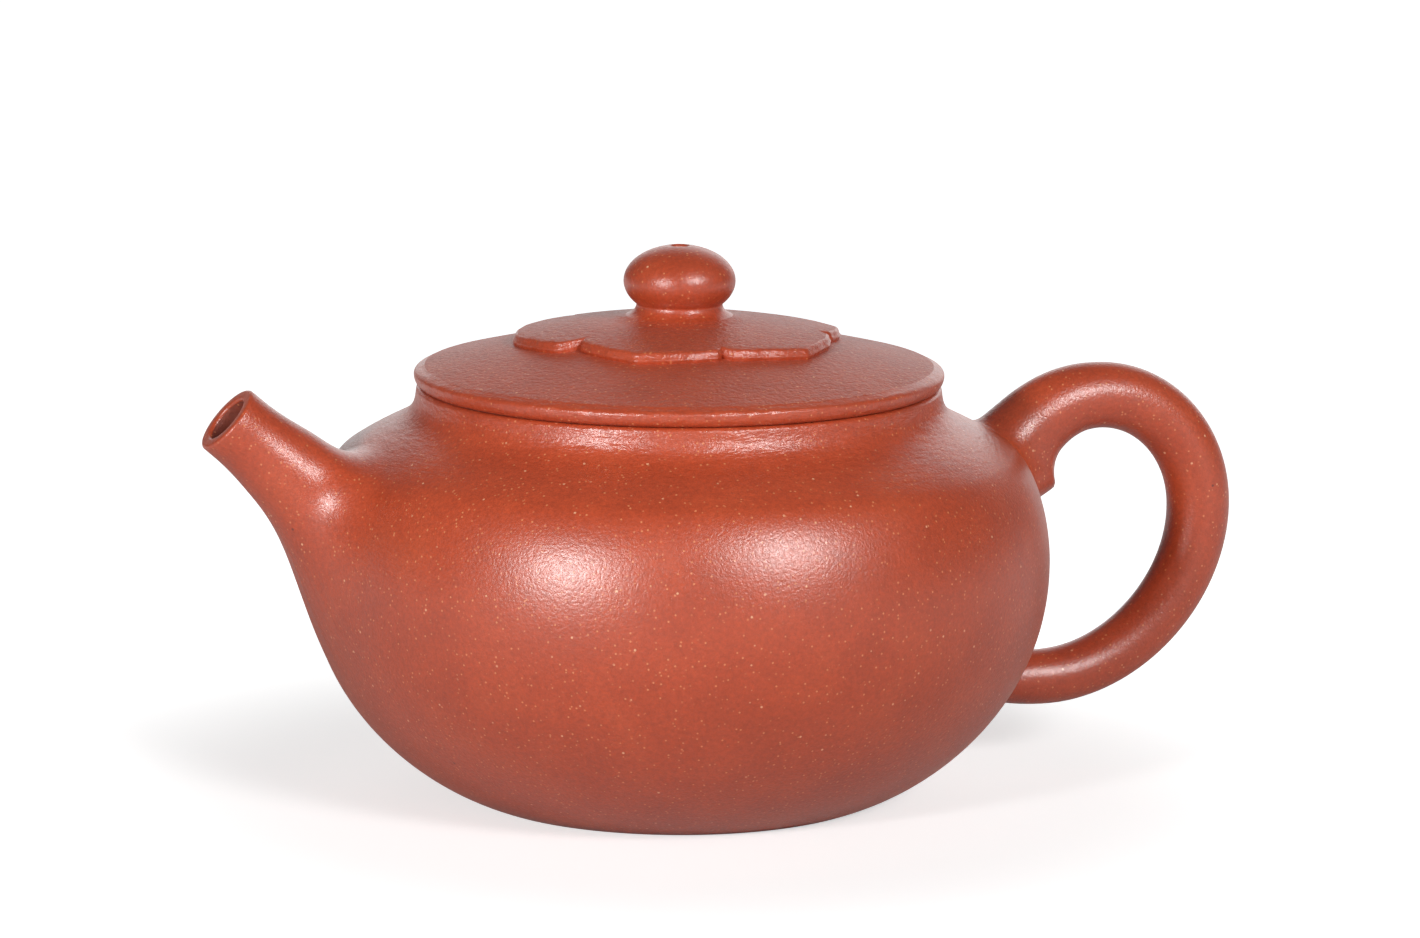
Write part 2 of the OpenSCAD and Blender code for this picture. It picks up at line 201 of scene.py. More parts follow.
class Pot:
    """The pot's outline, as (radius, height) points in millimetres, and places on its skin."""

    # Turn of the shoulder from the belly's widest line, and how far the neck leans in
    shoulder_in, shoulder_up, neck_in = 5.4, 15.8, 0.2
    # Slopes of the belly at the foot and of the shoulder at its turn, in degrees
    foot_slope, shoulder_slope = 19.4, -34

    def __init__(self, s):
        foot, belly = point(s.foot_d / 2, 0), point(s.belly_d / 2, s.belly_z)
        shoulder = belly + point(-self.shoulder_in, self.shoulder_up)
        mouth = point(s.mouth_d / 2 - self.neck_in, s.mouth_z)
        rise, fall = direction(self.foot_slope), direction(self.shoulder_slope)
        # A curve's second and third points say how far it is drawn along its ends' slopes
        low = curve(foot, foot + 10 * rise, belly - point(0, 18.4), belly, 40)
        high = curve(belly, belly + point(0, 7.1), shoulder + 3.5 * fall, shoulder, 24)
        neck = curve(shoulder, shoulder - 8.2 * fall, mouth - point(0, 5.4), mouth, 24)
        self.outside = low + high[1:] + neck[1:]
        self.mouth = mouth
        heights = [p.y for p in self.outside]
        lengths = [0.0]
        for before, here in zip(self.outside, self.outside[1:]):
            lengths.append(lengths[-1] + (here - before).length)
        self.radius_by_height = [(p.y, p.x) for p in self.outside]
        self.length_by_height = list(zip(heights, lengths))
        self.height_by_length = list(zip(lengths, heights))

    def radius(self, z):
        return between(self.radius_by_height, z)

    def climb(self, z, far):
        """Height reached by going that far up along the outside from a height."""
        return between(self.height_by_length, between(self.length_by_height, z) + far)

    def inside(self, wall):
        """The outline one wall's thickness in, from the foot to the mouth."""
        points = []
        for before, here, after in zip([self.outside[0]] + self.outside, self.outside,
                                       self.outside[1:] + [None]):
            run = (after or here) - before
            points.append(here + wall * point(-run.y, run.x).normalized())
        points[-1] = self.mouth - point(wall, 0)
        return points

    def skin(self, y, z, side):
        """Point just under the outside at that y and height, on the handle's side (1) or the
        spout's (-1)."""
        r = self.radius(z) - ROOT_SINK
        return point(side * math.sqrt(max(r * r - y * y, 0.0)), y, z)

    def root_loop(self, side, middle_z, up, down, half_w):
        """Loop on the skin where a spout or handle is joined, and the way in towards its middle."""
        # A loop that is a little smaller shows the way in
        smaller = 0.97
        loop, inwards = [], []
        for a in around(COIL_SIDES):
            y, rise = half_w * math.sin(a), math.cos(a)
            far = (up if rise > 0 else down) * rise
            here = self.skin(y, self.climb(middle_z, far), side)
            near = self.skin(smaller * y, self.climb(middle_z, smaller * far), side)
            loop.append(here)
            inwards.append((near - here).normalized())
        return loop, inwards


class SpoutAxis:
    """Straight line of the spout, from the middle of its tip down into the belly."""

    slope = math.radians(41.4)
    # The tip, out past the belly and below the mouth
    tip_out, tip_down = 12.8, 1.75

    def __init__(self, s):
        self.tip = point(-s.belly_d / 2 - self.tip_out, 0, s.mouth_z - self.tip_down)
        self.way = point(math.cos(self.slope), 0, -math.sin(self.slope))
        self.up = point(math.sin(self.slope), 0, math.cos(self.slope))

    def at(self, far):
        return self.tip + far * self.way

    def ring(self, far, radius):
        return [self.at(far) + radius * (math.cos(a) * self.up + math.sin(a) * point(0, 1, 0))
                for a in around(COIL_SIDES)]


class Lid:
    """The lid's outline above the mouth, as (radius, height) points in millimetres."""

    # How far the lid stands out past the mouth, and the thickness of its seat ring
    overhang, seat_t = 0.1, 1.7
    # The dome's edge, in from the rim and up from the seat, its rise and its slope there
    edge_in, edge_up, dome_up, dome_slope = 1.1, 1.0, 5.5, math.radians(14)

    def __init__(self, s):
        self.r = s.mouth_d / 2 + self.overhang
        self.low_z = s.mouth_z
        self.seat_z = s.mouth_z + self.seat_t
        edge = point(self.r - self.edge_in, self.seat_z + self.edge_up)
        top = point(0, edge.y + self.dome_up)
        inwards = point(-math.cos(self.dome_slope), math.sin(self.dome_slope))
        self.dome = curve(edge, edge + 10 * inwards, top + point(12, 0), top, 60)
        self.height_by_radius = [(p.x, p.y) for p in reversed(self.dome)]

    def height(self, r):
        return between(self.height_by_radius, r)


# ---------------------------------------------------------------- modelling


def clear_selection():
    if bpy.context.mode != "OBJECT":
        bpy.ops.object.mode_set(mode="OBJECT")
    bpy.ops.object.select_all(action="DESELECT")


def finish_mesh(piece, name, angle):
    """Merges doubles, points the faces outwards, and shades smooth up to an angle."""
    bpy.ops.mesh.select_all(action="SELECT")
    bpy.ops.mesh.remove_doubles(threshold=WELD_MM * MM)
    bpy.ops.mesh.normals_make_consistent(inside=False)
    bpy.ops.object.mode_set(mode="OBJECT")
    bpy.ops.object.shade_smooth_by_angle(angle=math.radians(angle))
    piece.name = piece.data.name = name
    return piece


def turned(name, outline, closed=True, angle=SMOOTH_ANGLE):
    """Turned piece: its outline is laid out from a circle in the XZ plane and spun round Z."""
    clear_selection()
    bpy.ops.mesh.primitive_circle_add(vertices=len(outline), enter_editmode=True)
    piece = bpy.context.object
    mesh = bmesh.from_edit_mesh(piece.data)
    for vert, p in zip(mesh.verts, outline):
        vert.co = (p.x * MM, 0, p.y * MM)
    if not closed:
        mesh.verts.ensure_lookup_table()
        seam = mesh.edges.get((mesh.verts[0], mesh.verts[-1]))
        bpy.ops.mesh.select_all(action="DESELECT")
        seam.select = True
        bpy.ops.mesh.delete(type="EDGE")
    bpy.ops.mesh.select_all(action="SELECT")
    bpy.ops.mesh.spin(steps=TURN_SIDES, angle=math.tau, center=(0, 0, 0), axis=(0, 0, 1))
    return finish_mesh(piece, name, angle)


def drawn_out(name, rings, angle=SMOOTH_ANGLE, capped=False):
    """Piece drawn out ring by ring from a circle, as a coil is rolled and pulled."""
    clear_selection()
    bpy.ops.mesh.primitive_circle_add(vertices=len(rings[0]), enter_editmode=True)
    piece = bpy.context.object
    loop = list(range(len(rings[0])))
    for number, ring in enumerate(rings):
        if number:
            bpy.ops.mesh.extrude_edges_move()
        mesh = bmesh.from_edit_mesh(piece.data)
        mesh.verts.ensure_lookup_table()
        mesh.verts.index_update()
        if number:
            # The new ring's points, each found along the edge from the point it was drawn from
            made = number * len(ring)
            ends = [[edge.other_vert(mesh.verts[i]).index for edge in mesh.verts[i].link_edges]
                    for i in loop]
            loop = [next(end for end in near if end >= made) for near in ends]
        for i, p in zip(loop, ring):
            mesh.verts[i].co = p * MM
        bmesh.update_edit_mesh(piece.data)
    if capped:
        bpy.ops.mesh.select_all(action="DESELECT")
        bpy.ops.mesh.select_non_manifold(extend=False, use_wire=False, use_multi_face=False,
                                         use_non_contiguous=False, use_verts=False)
        bpy.ops.mesh.fill_holes(sides=0)
    return finish_mesh(piece, name, angle)


def cut_with_rod(piece, start, end, radius):
    """Bores a round hole through a piece, between two points."""
    clear_selection()
    run = end - start
    bpy.ops.mesh.primitive_cylinder_add(vertices=ROD_SIDES, radius=radius * MM,
                                        depth=run.length * MM, location=(start + end) / 2 * MM,
                                        rotation=run.to_track_quat("Z", "Y").to_euler())
    rod = bpy.context.object
    bore = piece.modifiers.new("bore", "BOOLEAN")
    bore.operation, bore.solver, bore.object = "DIFFERENCE", "EXACT", rod
    bpy.context.view_layer.objects.active = piece
    bpy.ops.object.modifier_apply(modifier=bore.name)
    bpy.data.objects.remove(rod)
    clear_selection()
    piece.select_set(True)
    bpy.ops.object.shade_smooth_by_angle(angle=math.radians(SMOOTH_ANGLE))


def coat(piece, *materials):
    for material in materials:
        piece.data.materials.append(material)


def to_body(piece, body, slot, *nodes):
    """Lets a finished piece ride on its body, with the CAD nodes it stands for; its finish is not
    used.
    """
    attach(piece, body)
    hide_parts(*nodes)


# ---------------------------------------------------------------- clay

# Sockets of a Mix node: the two colours and their mix, and the two numbers
COLOUR_A, COLOUR_B, MIXED, NUMBER_A, NUMBER_B = 6, 7, 2, 2, 3

# Grains in the clay, one to a cell: many sandy ones 0.3 mm across, fewer pale ones, rare dark ones.
# Each has its cell and radius in mm, the share of cells that hold one, its strength and colour.
GRAINS = ((0.8, 0.19, 0.7, 0.75, "speck"), (1.9, 0.22, 0.5, 0.8, "quartz"),
          (9.0, 0.28, 0.5, 0.9, "iron"))


def rgba(value):
    return (*value, 1.0)


def empty_tree(owner):
    """The node tree of a new material or world, with nothing in it."""
    owner.use_nodes = True
    owner.node_tree.nodes.clear()
    return owner.node_tree


def add_node(tree, kind, links=(), **settings):
    """One node, with its settings and with links from (socket or value) to its named inputs."""
    node = tree.nodes.new("ShaderNode" + kind)
    for key, value in settings.items():
        setattr(node, key, value)
    for key, value in dict(links).items():
        if isinstance(value, bpy.types.NodeSocket):
            tree.links.new(value, node.inputs[key])
        else:
            node.inputs[key].default_value = value
    return node


def clay_material(name, clay, tone, roughness, wrinkles, grain_mm, relief_mm):
    """Fired unglazed stoneware clay, with a fine grain, and with wrinkles as strong on the belly
    and on the shoulder as the pair of numbers says."""
    made = bpy.data.materials.get(name)
    if made:
        return made
    made = bpy.data.materials.new(name)
    tree = empty_tree(made)

    def add(kind, links=(), **settings):
        return add_node(tree, kind, links, **settings)

    place = add("TexCoord")
    mm = add("VectorMath", {0: place.outputs["Object"], 1: (1 / MM,) * 3}, operation="MULTIPLY")
    mm = mm.outputs[0]

    # Cloudy mottling from the kiln between the deep and the pale clay
    cloud_mm, mottle = 9, 0.35
    cloud = add("TexNoise", {"Vector": mm, "Scale": 1 / cloud_mm, "Detail": 5.0, "Roughness": 0.6})
    deep = add("MapRange", {"Value": cloud.outputs[0], "From Min": 0.34, "From Max": 0.52,
                            "To Min": mottle, "To Max": 0.0})
    pale = add("MapRange", {"Value": cloud.outputs[0], "From Min": 0.5, "From Max": 0.68,
                            "To Min": 0.0, "To Max": mottle})
    base = add("Mix", {"Factor": deep.outputs[0], COLOUR_A: rgba(tone), COLOUR_B: rgba(clay.deep)},
               data_type="RGBA")
    base = add("Mix", {"Factor": pale.outputs[0], COLOUR_A: base.outputs[MIXED],
                       COLOUR_B: rgba(clay.pale)}, data_type="RGBA")
    # Sandy grain of the clay. The noise has two grains to its size, so they are 0.3 mm across.
    sand_mm = 0.6
    sand = add("TexNoise", {"Vector": mm, "Scale": 1 / sand_mm, "Detail": 3.0, "Roughness": 0.75})
    shade = add("MapRange", {"Value": sand.outputs[0], "From Min": 0.3, "From Max": 0.7,
                             "To Min": 0.82, "To Max": 1.14})
    base = add("Mix", {"Factor": 1.0, COLOUR_A: base.outputs[MIXED], COLOUR_B: shade.outputs[0]},
               data_type="RGBA", blend_type="MULTIPLY")
    for cell_mm, radius_mm, share, most, grain_colour in GRAINS:
        cell = add("TexVoronoi", {"Vector": mm, "Scale": 1 / cell_mm})
        near = add("MapRange", {"Value": cell.outputs["Distance"], "From Min": radius_mm / cell_mm,
                                "From Max": 0.5 * radius_mm / cell_mm, "To Max": most})
        pick = add("SeparateColor", {0: cell.outputs["Color"]})
        kept = add("MapRange", {"Value": pick.outputs[0], "From Min": 1 - share,
                                "From Max": 1 - 0.5 * share, "To Max": 1.0})
        grain = add("Math", {0: near.outputs[0], 1: kept.outputs[0]}, operation="MULTIPLY")
        base = add("Mix", {"Factor": grain.outputs[0], COLOUR_A: base.outputs[MIXED],
                           COLOUR_B: rgba(getattr(clay, grain_colour))}, data_type="RGBA")

    # Relief: leathery grain all over, and wrinkles drawn round the neck and shoulder by the
    # potter's rib. The wrinkles read the direction from the axis, so they have no seam.
    fine = add("TexNoise", {"Vector": mm, "Scale": 1 / grain_mm, "Detail": 2.5, "Roughness": 0.6})
    stretch = 13.0
    parts = add("SeparateXYZ", {0: mm})
    flat = add("CombineXYZ", {0: parts.outputs[0], 1: parts.outputs[1]})
    distance = add("VectorMath", {0: flat.outputs[0]}, operation="LENGTH").outputs["Value"]
    way = add("VectorMath", {0: flat.outputs[0]}, operation="NORMALIZE")
    lifted = add("CombineXYZ", {2: distance})
    drawn = add("VectorMath", {0: way.outputs[0], 1: (stretch,) * 3, 2: lifted.outputs[0]},
                operation="MULTIPLY_ADD")
    wrinkle = add("TexNoise", {"Vector": drawn.outputs[0], "W": parts.outputs[2], "Scale": 1.2,
                               "Detail": 3.0, "Roughness": 0.6}, noise_dimensions="4D")
    # They rise above the belly, and fade out towards the tip of the spout and on the knob
    rise = add("MapRange", {"Value": parts.outputs[2], "From Min": 45.5, "From Max": 53.0,
                            "To Min": wrinkles[0], "To Max": wrinkles[1]})
    off_spout = add("MapRange", {"Value": distance, "From Min": 51.0, "From Max": 45.0})
    off_knob = add("MapRange", {"Value": distance, "From Min": 9.0, "From Max": 16.0})
    fade = add("Math", {0: off_spout.outputs[0], 1: off_knob.outputs[0]}, operation="MULTIPLY")
    depth = add("Math", {0: rise.outputs[0], 1: fade.outputs[0]}, operation="MULTIPLY")
    height = add("Math", {0: wrinkle.outputs[0], 1: depth.outputs[0], 2: fine.outputs[0]},
                 operation="MULTIPLY_ADD")
    bump = add("Bump", {"Strength": 1.0, "Distance": relief_mm * MM, "Height": height.outputs[0]})
    gloss = add("MapRange", {"Value": fine.outputs[0], "From Min": 0.3, "From Max": 0.7,
                             "To Min": roughness - 0.05, "To Max": roughness + 0.06})
    shader = add("BsdfPrincipled", {
        "Base Color": base.outputs[MIXED], "Roughness": gloss.outputs[0],
        "Normal": bump.outputs[0], "IOR": 1.5, "Specular IOR Level": 1.0,
        "Sheen Weight": 0.04, "Sheen Roughness": 0.3, "Sheen Tint": rgba(clay.sheen)})
    add("OutputMaterial", {"Surface": shader.outputs[0]})
    return made


def burnished(clay):
    """Outside of the pot: rubbed with a horn rib when leather-hard, so it has a low gloss."""
    return clay_material("burnished_red_stoneware", clay, clay.body, roughness=0.35,
                         wrinkles=(0.3, 3.6), grain_mm=0.4, relief_mm=0.06)


def ribbed(clay):
    """Top of the lid: pressed with a damp rib, so it stays matt and leathery."""
    return clay_material("rib_pressed_red_stoneware", clay, clay.body, roughness=0.5,
                         wrinkles=(0.6, 0.6), grain_mm=0.7, relief_mm=0.24)


def scraped_and_shaded(clay):
    """Inside of the pot and the strainer: scraped and left as fired, in a darker clay that is
    painted shade.
    """
    return clay_material("scraped_shaded_red_stoneware", clay, clay.inner, roughness=0.62,
                         wrinkles=(0.8, 0.8), grain_mm=0.6, relief_mm=0.07)


# ---------------------------------------------------------------- pieces


class TEAPOT_OT_body(bpy.types.Operator):
    """Turn the belly, shoulder and neck as one smooth wall, and bore the pouring hole"""

    bl_idname = "teapot.body"
    bl_label = "Body"

    def execute(self, context):
        s = in_mm(context.scene.teapot_shape)
        pot, axis = Pot(s), SpoutAxis(s)
        inner, foot_r, mouth_z = pot.inside(s.wall_t), pot.outside[0].x, pot.mouth.y
        # The bottom is pressed in, inside the ring that the pot stands on
        press, stand = 0.9, 4.5
        under = [point(0, press), point(foot_r - stand - 2 * press, press),
                 point(foot_r - stand, 0.15), point(foot_r - stand + 0.5, 0),
                 point(foot_r - 0.4, 0)]
        wall = [p for p in pot.outside if p.y < mouth_z - 0.65]
        lip_w, lip_h, inner_lip_r = 0.7, 0.6, 0.5
        lip = profile_arc(pot.mouth - point(lip_w, lip_h), lip_w, lip_h, 0, 90, 6)
        inner_lip = profile_arc(pot.mouth - point(s.wall_t - inner_lip_r, inner_lip_r),
                                inner_lip_r, inner_lip_r, 90, 180, 5)
        floor_z = inner[0].y + 0.2
        down = [p for p in reversed(inner) if floor_z < p.y < mouth_z - lip_h]
        floor = [point(down[-1].x - 2, floor_z), point(0, floor_z)]
        piece = turned("pot_body", under + wall + lip + inner_lip + down + floor, closed=False)
        # The rod starts inside the spout's root and ends well inside the belly
        hole_from, hole_to = 9, 34
        cut_with_rod(piece, axis.at(hole_from), axis.at(hole_to), HOLE_R)
        clay = context.scene.teapot_clay
        coat(piece, burnished(clay), scraped_and_shaded(clay))
        # Faces deeper than the skin, between the bottom and the lip, are inside, and take the darker
        # inner clay, which is painted shade
        skin_t, inside_from, inside_to = 1.2, 1.5, mouth_z - 0.3
        for face in piece.data.polygons:
            centre = face.center / MM
            depth = pot.radius(centre.z) - math.hypot(centre.x, centre.y)
            face.material_index = int(depth > skin_t and inside_from < centre.z < inside_to)
        to_body(piece, "pot", "pot_clay", "base_disc", "body_wall", "shoulder_disc", "neck_ring")
        return {"FINISHED"}


class TEAPOT_OT_spout(bpy.types.Operator):
    """Draw out the straight spout and smooth its root into the belly"""

    bl_idname = "teapot.spout"
    bl_label = "Spout"

    def execute(self, context):
        s = in_mm(context.scene.teapot_shape)
        pot, axis = Pot(s), SpoutAxis(s)
        # Outlines along the spout, as (distance from the tip, radius)
        tip_r, bore_r, edge, bore_edge = s.tip_d / 2, s.tip_bore / 2, 0.5, 0.45
        turns = [math.radians(15 * i) for i in range(7)]
        bore_lip = [(bore_edge - bore_edge * math.sin(a),
                     bore_r + bore_edge - bore_edge * math.cos(a)) for a in turns]
        lip = [(edge - edge * math.cos(a), tip_r - edge + edge * math.sin(a)) for a in turns]
        straight, neck = point(2, tip_r), point(10, 5.95)
        flare = curve(straight, straight + point(3, 0), neck - point(3, 0.5), neck, 14)
        bore_end = point(17.5, HOLE_R)
        bore = curve(point(3, bore_r), point(9, bore_r), point(11, 5.2), bore_end, 12)
        # The channel runs on to the hole in the wall, and the spout's root closes round it there
        pace, paces, under_skin = 0.1, 120, 0.3
        onwards = [axis.ring(bore_end.x + pace * i, HOLE_R) for i in range(paces)]
        inlet = [next(p for p in line if math.hypot(p.x, p.y) < pot.radius(p.z) - under_skin)
                 for line in zip(*onwards)]
        rings = [inlet] + [axis.ring(*p) for p in bore[::-1] + bore_lip + lip + flare]
        slope = neck - flare[-2]
        foot, inwards = pot.root_loop(side=-1, middle_z=34.0, up=21.0, down=18.5, half_w=18.0)
        blend, steps = [], 28
        for here, there, inward in zip(rings[-1], foot, inwards):
            out = (here - axis.at(neck.x)).normalized()
            onward = (slope.x * axis.way + slope.y * out).normalized()
            gap = (there - here).length
            # It flares sooner at its sides than at its top and underside
            sideways = abs(out.y)
            blend.append(curve(here, here + (0.34 - 0.07 * sideways) * gap * onward,
                               there + (0.51 + 0.02 * sideways) * gap * inward, there, steps))
        rings += rings_along(blend, range(1, steps + 1)) + [inlet]
        piece = drawn_out("spout_tube", rings)
        clay = context.scene.teapot_clay
        coat(piece, burnished(clay), scraped_and_shaded(clay))
        # Faces inside the bore take the darker inner clay, which is painted shade
        channel_r = 6
        for face in piece.data.polygons:
            far = (face.center / MM - axis.tip).dot(axis.way)
            out = face.center / MM - axis.at(far)
            face.material_index = int(far > edge and out.length < channel_r
                                      and face.normal.dot(out) < 0)
        to_body(piece, "pot", "pot_clay", "spout")
        return {"FINISHED"}


def handle_line(s):
    """The handle's centreline in the XZ plane from the shoulder round to the lower belly, with
    its radii."""
    belly_r = s.belly_d / 2
    leaving, crest = point(belly_r - 0.8, s.mouth_z - 9.23), point(belly_r + 10.6, s.mouth_z - 4.4)
    outmost, low = point(belly_r + 26.4, 36.5), point(belly_r + 2.6, 12.7)
    # How full the curves are: the upper one is a quarter of an ellipse, the lower one is flatter
    upper, lower = 0.5523, 0.525
    over, under = outmost.x - crest.x, outmost.x - low.x
    drop, rise = crest.y - outmost.y, outmost.y - low.y
    to_crest, to_outmost, to_low = 16, 30, 36
    line = curve(leaving, leaving + point(2.6, 2.6), crest - point(5, 0), crest, to_crest)
    line += curve(crest, crest + point(upper * over, 0), outmost + point(0, upper * drop),
                  outmost, to_outmost)[1:]
    line += curve(outmost, outmost - point(0, lower * rise), low + point(lower * under, 0),
                  low, to_low)[1:]
    radii = [(0, 5.2), (to_crest, 4.7), (to_crest + to_outmost, s.coil_d / 2),
             (to_crest + to_outmost + to_low, 3.95)]
    return line, [between(radii, i) for i in range(len(line))]


def coil_ring(centre, heading, radius, swell):
    """Ring round the coil from its outer side, square to its heading, swollen on its inner side."""
    out = point(-heading.y, 0, heading.x)
    return [point(centre.x, 0, centre.y) + (radius + swell * max(0.0, -math.cos(a)) ** 2)
            * (math.cos(a) * out + math.sin(a) * point(0, 1, 0)) for a in around(COIL_SIDES)]


def rolled_coil(s):
    """Rings of the rolled coil, between its two roots."""
    line, radii = handle_line(s)
    headings = [(after - before).normalized()
                for before, after in zip([line[0]] + line, line[1:] + [line[-1]])]
    headings[-1] = point(-1, 0)
    # The coil starts a little way along its line, and swells towards its upper root
    first, swell_to, most = 5, 13, 0.55
    return [coil_ring(line[i], headings[i], radii[i],
                      most * (max(0, swell_to - i) / (swell_to - first)) ** 1.3)
            for i in range(first, len(line))]


def upper_root(pot, coil):
    """Rings of the coil's end, which is thumbed down into a tail that stands off the belly:
    its rim lies under the coil, and fades out round the sides."""
    steps, pull, lip = 16, 0.36, 0.3
    # The tail's rim is an oval that reaches rim_w to each side, and the tail hangs almost straight
    rim_top, rim_tip, rim_w = point(48.5, 0, 51.6), point(55.9, 0, 40.35), 5.4
    hanging = point(0.22, 0, -1)
    foot, inwards = pot.root_loop(side=1, middle_z=44.5, up=8.6, down=7.4, half_w=8.4)
    outer, inner = [], []
    for a, here, after, there, inward in zip(around(COIL_SIDES), *coil[:2], foot, inwards):
        back, gap = (here - after).normalized(), (there - here).length
        under = (1 - math.cos(a)) / 2
        plain = curve(here, here + (0.5 - 0.1 * under) * gap * back,
                      there + (0.2 + 0.25 * under) * gap * inward, there, 2 * steps)
        rim = ((rim_top + rim_tip) / 2 + math.cos(a) * (rim_top - rim_tip) / 2
               + point(0, rim_w * math.sin(a), 0))
        weight = 1 - smooth(-0.8, 0.1, math.cos(a))
        mid = plain[steps].lerp(rim, weight)
        run = (plain[steps + 1] - plain[steps - 1]).normalized()
        arrive = run.lerp(hanging, weight).normalized()
        leave = run.lerp((there - rim).normalized(), weight).normalized()
        near, far = (mid - here).length, (there - mid).length
        outer.append(curve(here, here + pull * near * back, mid - pull * near * arrive,
                           mid - lip * weight * arrive, steps))
        inner.append(curve(mid + lip * weight * leave, mid + pull * far * leave,
                           there + (0.4 - 0.25 * weight) * far * inward, there, steps))
    return rings_along(inner, range(steps, -1, -1)) + rings_along(outer, range(steps, 0, -1))


def lower_root(pot, coil):
    """Rings that run the coil straight into the belly with a small fillet."""
    steps, half_way = 12, COIL_SIDES // 2
    loops = pot.root_loop(side=1, middle_z=12.2, up=5.8, down=5.2, half_w=5.4)
    # The coil's outer side is its underside here, so its points are counted from there
    foot, inwards = ([loop[(half_way - i) % COIL_SIDES] for i in range(COIL_SIDES)]
                     for loop in loops)
    paths = []
    for here, there, inward in zip(coil[-1], foot, inwards):
        gap = (there - here).length
        paths.append(curve(here, here + point(-0.55 * gap, 0, 0),
                           there + 0.3 * gap * inward, there, steps))
    return rings_along(paths, range(1, steps + 1))


class TEAPOT_OT_handle(bpy.types.Operator):
    """Roll the ear-shaped handle, with smooth roots and a small tail under the upper one"""

    bl_idname = "teapot.handle"
    bl_label = "Handle"

    def execute(self, context):
        s = in_mm(context.scene.teapot_shape)
        pot, coil = Pot(s), rolled_coil(s)
        rings = upper_root(pot, coil) + coil + lower_root(pot, coil)
        piece = drawn_out("handle_coil", rings, capped=True)
        coat(piece, burnished(context.scene.teapot_clay))
        to_body(piece, "pot", "pot_clay", "handle")
        return {"FINISHED"}


class TEAPOT_OT_lid(bpy.types.Operator):
    """Turn the lid: rounded burnished rim, shallow matt dome and hollow underside"""

    bl_idname = "teapot.lid"
    bl_label = "Lid"

    def execute(self, context):
        s = in_mm(context.scene.teapot_shape)
        lid = Lid(s)
        flange_gap, flange_t = 0.3, 1.8
        flange_in = s.mouth_d / 2 - s.wall_t - flange_gap - flange_t
        vent_r, crease_r, under_dome = s.vent_d / 2, lid.r - 1.5, 1
        # The burnished rim rolls from the mouth over its widest line to the crease at the dome
        widest, crease = point(lid.r, lid.seat_z - 0.05), point(crease_r, lid.height(crease_r))
        low = curve(point(lid.r - 1.6, lid.low_z), point(lid.r - 0.6, lid.low_z),
                    widest - point(0, 1.0), widest, 12)
        high = curve(widest, widest + point(0, 0.65), crease + 0.8 * direction(-30), crease, 12)[1:]
        top = [point(crease_r - 0.1, lid.height(crease_r - 0.1))]
        top += [p for p in lid.dome if vent_r + 0.2 < p.x < crease_r - 0.4]
        under = [p - point(0, s.lid_t) for p in reversed(top) if p.x < flange_in - 2]
        vent = [point(vent_r, top[-1].y), point(vent_r, under[0].y)]
        # The hollow's edge runs down inside the flange to the plane of the mouth
        hollow = [point(flange_in - 0.6, lid.seat_z + 0.1), point(flange_in, lid.low_z)]
        piece = turned("lid_disc", low + high + top + vent + under + hollow)
        clay = context.scene.teapot_clay
        coat(piece, burnished(clay), ribbed(clay), scraped_and_shaded(clay))
        # The dome's top takes the matt clay, and the hollow underside the darker inner clay, which
        # is painted shade
        for face in piece.data.polygons:
            r, z = math.hypot(face.center.x, face.center.y) / MM, face.center.z / MM
            if face.normal.z > 0.8 and r < crease_r:
                face.material_index = 1
            elif r < flange_in and z < lid.height(r) - under_dome:
                face.material_index = 2
        to_body(piece, "lid", "lid_clay", "seat_ring", "lid_dome")
        return {"FINISHED"}


# Edge of a leaf 45 mm across, as (degrees, radius in mm), lobe by lobe from one notch to the next.
# It is cut by eye, so no two lobes are alike.
LEAF_EDGE_R = 22.5
LEAF_EDGE = (
    (-20, 19.9), (-17, 21.5), (-8, 22.6), (2, 23.8), (14, 23.4), (30, 22.4), (41, 21.2),
    (44, 18.0), (47, 21.2), (62, 22.6), (82, 23.3), (100, 22.8), (117, 21.6),
    (120, 18.2), (123, 21.8), (129, 22.8), (145, 23.3), (162, 23.0), (172, 22.7), (186, 21.6),
    (196, 20.6), (199.5, 19.6),
    (202, 17.3), (205, 18.4), (219, 19.4), (236, 21.2), (247, 20.4), (259, 19.9), (268, 19.5),
    (271, 18.2), (274, 19.6), (284, 20.4), (296, 21.4), (305, 22.2), (317, 21.5), (330, 21.3),
    (337, 21.2), (340, 19.9),
)
# Waves that a knife leaves in the leaf's edge: depth in mm, count round the leaf, and start
KNIFE_WAVES = ((0.09, 7, 1), (0.07, 13, 2), (0.05, 31, 0))


